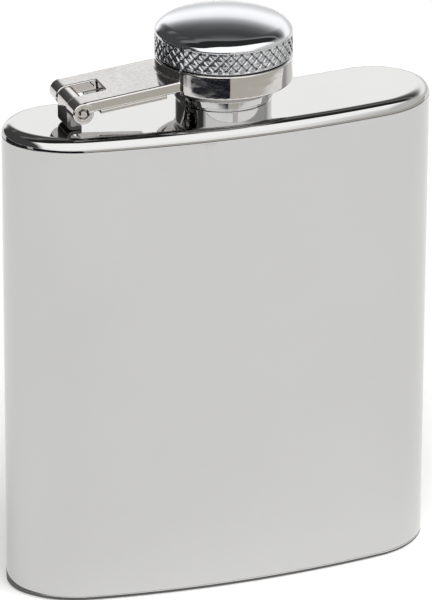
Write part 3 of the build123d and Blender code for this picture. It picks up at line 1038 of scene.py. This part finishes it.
# The bands bend towards the sides, by these degrees times the square of the distance aside, and by a share
# that depends on the band's own angle. The left bend stops at its most, and goes the other way where its
# share is under half.
LEFT_BEND, LEFT_BEND_MOST = 120.0, 17.0
LEFT_BEND_SHARE = ((0, 1.0), (42, 1.0), (62, 0.0), (100, 0.0), (125, 0.5), (180, 0.5))
RIGHT_BEND = 60.0
RIGHT_BEND_SHARE = ((0, 0.0), (45, 0.0), (70, 1.0), (180, 1.0))

# Plain walls stand at the far left and right. They fade in over these distances aside, and the left one comes
# nearer behind the flask.
RIGHT_LEVEL, LEFT_LEVEL = 0.8, 0.08
RIGHT_WALL = ((0.0, 0), (0.68, 0), (0.85, 1), (1.0, 1))
LEFT_WALL = ((0.0, 0), (0.6, 0), (0.72, 1), (1.0, 1))
LEFT_WALL_NEARER = ((0, 0.12), (55, 0.12), (80, 0.0), (180, 0.0))


def sky():
    """Softbox surroundings: a bright wall behind, a dark gap overhead and a bright bank in front, bent
    towards the sides, with a plain wall at each side."""
    world = bpy.data.worlds.new("studio")
    bpy.context.scene.world = world
    world.use_nodes = True
    wires = Wiring(world.node_tree)
    math_node = wires.math
    place = wires.node("ShaderNodeTexCoord").outputs["Generated"]

    def along(direction):
        node = wires.node("ShaderNodeVectorMath", operation="DOT_PRODUCT")
        node.inputs[1].default_value = tuple(direction)
        wires.link(place, node.inputs[0])
        return node.outputs["Value"]

    def greys(value, stops, span=1, peak=1):
        return wires.ramp(value, [(spot / span, (level / peak,) * 3) for spot, level in stops])

    def bend(way, most):
        return math_node("MULTIPLY", math_node("MULTIPLY", way, way), most / HALF_CIRCLE)

    side = along(ASIDE)
    band = math_node("DIVIDE", math_node("ARCTAN2", along((0, 0, 1)), along(AWAY)), math.pi)
    left_bend = bend(math_node("MINIMUM", side, 0.0), LEFT_BEND)
    left_bend = math_node("MINIMUM", left_bend, LEFT_BEND_MOST / HALF_CIRCLE)
    left_way = math_node("MULTIPLY", greys(band, LEFT_BEND_SHARE, HALF_CIRCLE), 2.0)
    left_way = math_node("SUBTRACT", left_way, 1.0)
    bent_band = math_node("ADD", band, math_node("MULTIPLY", left_bend, left_way))
    right_bend = bend(math_node("MAXIMUM", side, 0.0), RIGHT_BEND)
    right_way = greys(band, RIGHT_BEND_SHARE, HALF_CIRCLE)
    bent_band = math_node("ADD", bent_band, math_node("MULTIPLY", right_bend, right_way))
    shade = greys(bent_band, SKY_BANDS, HALF_CIRCLE, SKY_PEAK)
    nearer = greys(band, LEFT_WALL_NEARER, HALF_CIRCLE)
    right_wall = greys(side, RIGHT_WALL)
    left_wall = greys(math_node("SUBTRACT", nearer, side), LEFT_WALL)
    for wall, level in ((right_wall, RIGHT_LEVEL), (left_wall, LEFT_LEVEL)):
        kept = math_node("MULTIPLY", shade, math_node("SUBTRACT", 1.0, wall))
        shade = math_node("ADD", kept, math_node("MULTIPLY", wall, level / SKY_PEAK))
    background = wires.tree.nodes["Background"]
    wires.link(shade, background.inputs["Color"])
    background.inputs["Strength"].default_value = SKY_PEAK


def softbox(name, azimuth, elevation, distance, size, power):
    """Softbox that faces the flask from a direction and lights it without showing in the polish."""
    light = bpy.data.lights.new(name, "AREA")
    light.shape = "RECTANGLE"
    light.size, light.size_y = size
    light.energy = power
    thing = shown(name, light)
    a, e = math.radians(azimuth), math.radians(elevation)
    out = Vector((math.cos(a) * math.cos(e), math.sin(a) * math.cos(e), math.sin(e)))
    thing.location = distance * out + Vector((0, 0, 0.05))
    thing.rotation_euler = out.to_track_quat("Z", "Y").to_euler()
    thing.visible_glossy = False


def camera():
    """Long lens that looks down on the flask's front from its left."""
    back = -math.cos(VIEW_ELEVATION) * AWAY + np.array([0, 0, math.sin(VIEW_ELEVATION)])
    up = np.cross(back, ASIDE)
    place = ASIDE * AIM_RIGHT + up * AIM_UP + back * VIEW_DISTANCE
    turn, tip = math.cos(VIEW_ROLL), math.sin(VIEW_ROLL)
    columns = [turn * ASIDE + tip * up, turn * up - tip * ASIDE, back, place]
    data = bpy.data.cameras.new("camera")
    data.lens = LENS
    data.sensor_width = SENSOR
    thing = shown("camera", data)
    thing.matrix_world = Matrix(np.vstack([np.stack(columns, 1), [0, 0, 0, 1]]).tolist())
    bpy.context.scene.camera = thing


floor()
sky()
camera()
softbox("key_softbox", -75, 62, 1.6, (1.4, 1.0), 9)
reflected_card("warm_table", -98, 20, 0.63, (1.0, 0.96, 0.88))
reflected_card("dark_flag", -163, -98, 0.02, (0.6, 0.7, 1.0))
reflected_card("grey_table", -171, -163, 0.6, (1.0, 0.98, 0.94))
reflected_card("left_flag", -230, -171, 0.03, (0.8, 0.85, 1.0))
reflected_card("hinge_table", -88, -75.5, 0.73, (1.0, 0.95, 0.92), HINGE_START, HINGE_END)
contact_shade()
bpy.context.scene.view_settings.view_transform = "Standard"
